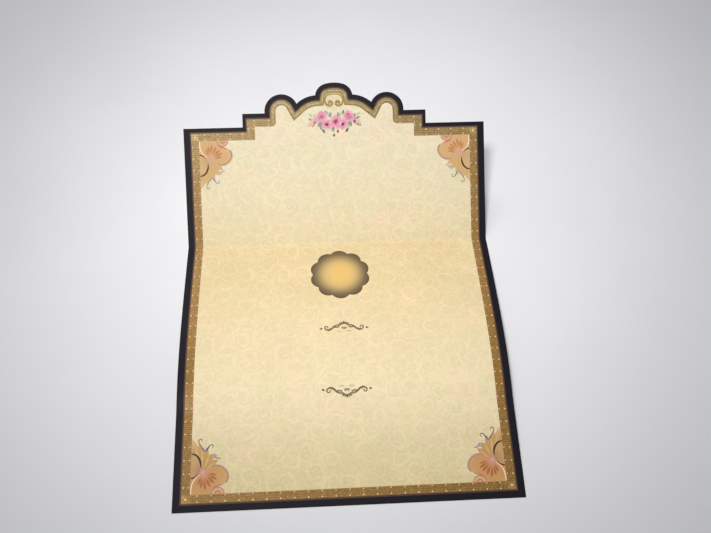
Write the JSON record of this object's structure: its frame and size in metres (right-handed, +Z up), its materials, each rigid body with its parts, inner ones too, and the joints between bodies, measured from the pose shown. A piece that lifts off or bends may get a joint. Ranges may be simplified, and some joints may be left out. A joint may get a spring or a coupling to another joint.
{
  "type": "wedding invitation card",
  "caption": "Folded invitation card of one stiff sheet: a raised flap with a scalloped die-cut head, a bowed middle and a flat front, printed with a dark edge and gold band.",
  "frame": {"origin": "under the middle of the card, on the surface it lies on", "axes": "+X across the card, +Y along it from the front edge towards the die-cut head, +Z up; the printed side faces up"},
  "size_m": [0.21, 0.2758, 0.0631],
  "materials": {
    "printed_card": "satin printed card in cream with a dark edge and a gold band, bare and matte on the back"
  },
  "bodies": {
    "root": {"invitation_card": "printed_card"}
  },
  "joints": []
}
